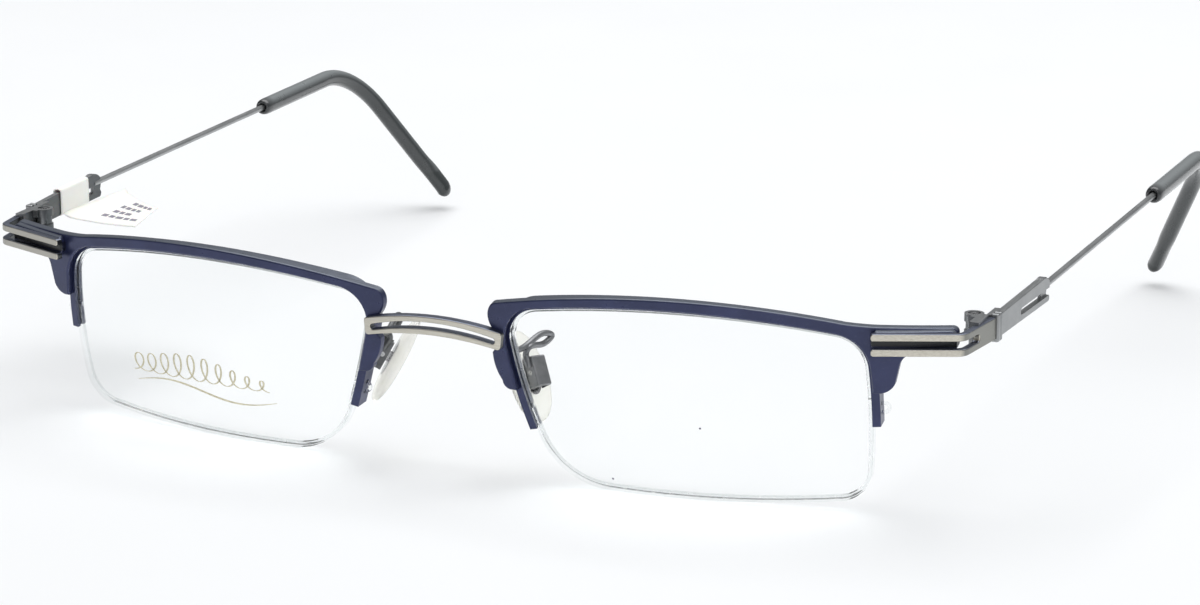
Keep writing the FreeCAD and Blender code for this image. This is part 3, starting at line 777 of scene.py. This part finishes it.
def ribbon(name, tree, line, width_at, proud=0.02 * MM, thickness=0.03 * MM):
    """Flat pen stroke along line, a list of (x, z), on the front of the lens."""
    rings = []
    for i, (x, z) in enumerate(line):
        before, after = line[max(i - 1, 0)], line[min(i + 1, len(line) - 1)]
        run = Vector((after[0] - before[0], after[1] - before[1])).normalized()
        half = width_at(i / (len(line) - 1), run) / 2
        a = (x - run.y * half, z + run.x * half)
        b = (x + run.y * half, z - run.x * half)
        rings.append(
            [
                on_lens(tree, *a, proud),
                on_lens(tree, *b, proud),
                on_lens(tree, *b, proud + thickness),
                on_lens(tree, *a, proud + thickness),
            ]
        )
    vertices, faces = loft(rings)
    return mesh_object(name, vertices, faces)


FLOURISH_LOOPS = 10
LOOP_STEPS = 420
SWASH_STEPS = 90


def lens_flourish(material):
    """Gold pen flourish of loops and a long swash on the wearer's right demo lens."""
    tree = surface_tree("lens_right")
    low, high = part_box("lens_right")
    width = high.x - low.x
    left, right = low.x + 0.21 * width, low.x + 0.68 * width
    base = low.z + 0.30 * (high.z - low.z)

    def pen(_, run):
        return (0.09 + 0.20 * abs(run.y)) * MM

    loops = []
    for i in range(LOOP_STEPS + 1):
        share = i / LOOP_STEPS
        turn = 2 * math.pi * FLOURISH_LOOPS * share - math.pi / 2
        size = (1.45 - 0.6 * share) * MM
        x = left + (right - left) * share + 0.9 * size * math.cos(turn)
        z = base + size * (1 + math.sin(turn)) * (1.25 - 0.35 * math.cos(2 * math.pi * share))
        loops.append((x, z))
    swash = []
    for i in range(SWASH_STEPS):
        share = i / (SWASH_STEPS - 1)
        x = left + (right - left) * (1.04 - 1.02 * share)
        z = base - (1.5 + 0.9 * math.sin(2 * math.pi * share)) * MM
        swash.append((x, z))

    def taper(share, _):
        return (0.08 + 0.22 * math.sin(math.pi * share)) * MM

    for name, line, width_at in (("lens_loops", loops, pen), ("lens_swash", swash, taper)):
        finish_piece(ribbon(name, tree, line, width_at), material, "front", False)


DOT_POINTS = 20


def lens_dots(material):
    """Two small centring marks on the wearer's left demo lens."""
    tree = surface_tree("lens_left")
    low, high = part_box("lens_left")
    for name, across, up, radius in (
        ("centre_dot", 0.55, 0.40, 0.15 * MM),
        ("edge_dot", 0.29, 0.07, 0.16 * MM),
    ):
        x = low.x + across * (high.x - low.x)
        z = low.z + up * (high.z - low.z)
        rings = []
        for share, proud in ((1.0, 0.02), (1.0, 0.04), (0.6, 0.055), (0.2, 0.06)):
            rings.append(
                [
                    on_lens(
                        tree,
                        x + radius * share * math.cos(2 * math.pi * j / DOT_POINTS),
                        z + radius * share * math.sin(2 * math.pi * j / DOT_POINTS),
                        proud * MM,
                    )
                    for j in range(DOT_POINTS)
                ]
            )
        vertices, faces = loft(rings)
        finish_piece(mesh_object(name, vertices, faces), material, "front")


# ---- floor, light and camera ----
def floor():
    bpy.ops.mesh.primitive_plane_add(size=12, location=(0, 0, -0.0002))
    plane = bpy.context.object
    plane.name = "floor"
    g = Graph("floor_paper")
    g.set(Specular_IOR_Level=0.2)
    tone = g.ramp(g.noise(6, 3), 0, 1)
    g.colour(g.mix(tone, (0.86, 0.87, 0.88), (0.88, 0.89, 0.90)))
    g.roughness(g.ramp(g.noise(40, 3), 0.75, 0.9))
    plane.data.materials.append(g.material)


def area_light(name, place, target, size, power, colour=(1, 1, 1)):
    data = bpy.data.lights.new(name, "AREA")
    data.shape = "RECTANGLE"
    data.size, data.size_y = size
    data.energy = power
    data.color = colour
    light = bpy.data.objects.new(name, data)
    bpy.context.scene.collection.objects.link(light)
    light.location = place
    light.rotation_mode = "QUATERNION"
    way = Vector(target) - Vector(place)
    light.rotation_quaternion = way.to_track_quat("-Z", "Y")


def studio_world():
    """Pale surroundings, brighter above and on the wearer's left."""
    world = bpy.data.worlds.new("studio")
    bpy.context.scene.world = world
    world.use_nodes = True
    tree = world.node_tree
    place = tree.nodes.new("ShaderNodeTexCoord")
    split = tree.nodes.new("ShaderNodeSeparateXYZ")
    tree.links.new(place.outputs["Generated"], split.inputs["Vector"])
    product = tree.nodes.new("ShaderNodeMath")
    product.operation = "MULTIPLY"
    for socket, axis, start, end, low, high in (
        (product.inputs[0], "Z", -0.1, 0.9, 0.26, 0.55),
        (product.inputs[1], "X", -0.9, 0.6, 0.45, 1.1),
    ):
        fade = tree.nodes.new("ShaderNodeMapRange")
        fade.inputs["From Min"].default_value = start
        fade.inputs["From Max"].default_value = end
        fade.inputs["To Min"].default_value = low
        fade.inputs["To Max"].default_value = high
        tree.links.new(split.outputs[axis], fade.inputs["Value"])
        tree.links.new(fade.outputs["Result"], socket)
    background = tree.nodes["Background"]
    background.inputs["Color"].default_value = (0.97, 0.985, 1.0, 1.0)
    tree.links.new(product.outputs[0], background.inputs["Strength"])


def lights():
    studio_world()
    focus = (0, 0, 0.015)
    area_light("overhead", (0.0, 0.15, 0.9), focus, (1.2, 1.0), 9.0)
    area_light("front_right", (0.25, -0.85, 0.35), focus, (0.5, 0.35), 0.8, (1.0, 0.98, 0.95))


CAMERA_AZIMUTH = 23.33
CAMERA_ELEVATION = 17.094
CAMERA_DISTANCE = 0.49834
CAMERA_LENS = 114.0
CAMERA_SHIFT_Y = 0.0807


def camera():
    """Looks down a line that passes the front plane of the lenses, right of the bridge."""
    low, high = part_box("lens_left")
    aim = Vector((low.x + 0.2645 * (high.x - low.x), low.y + 1.61 * MM, 13.1 * MM))
    data = bpy.data.cameras.new("camera")
    data.lens = CAMERA_LENS
    data.sensor_width = 36.0
    data.shift_y = CAMERA_SHIFT_Y
    data.clip_start = 0.01
    eye = bpy.data.objects.new("camera", data)
    bpy.context.scene.collection.objects.link(eye)
    a, e = math.radians(CAMERA_AZIMUTH), math.radians(CAMERA_ELEVATION)
    back = Vector((math.sin(a) * math.cos(e), -math.cos(a) * math.cos(e), math.sin(e)))
    eye.location = aim + back * CAMERA_DISTANCE
    eye.rotation_mode = "QUATERNION"
    eye.rotation_quaternion = (-back).to_track_quat("-Z", "Y")
    bpy.context.scene.camera = eye


dress_cad_nodes()
pad_material = silicone()
tip_material = tip_plastic()
paper_material = paper()
ink = print_ink()
for side in SIDES:
    nose_pad(side, pad_material)
    temple_tip(side, tip_material)
tag_band(paper_material)
tag_flag(paper_material)
tag_print(ink)
lens_flourish(gold_ink())
lens_dots(ink)
floor()
lights()
camera()
bpy.context.scene.view_settings.view_transform = "Standard"
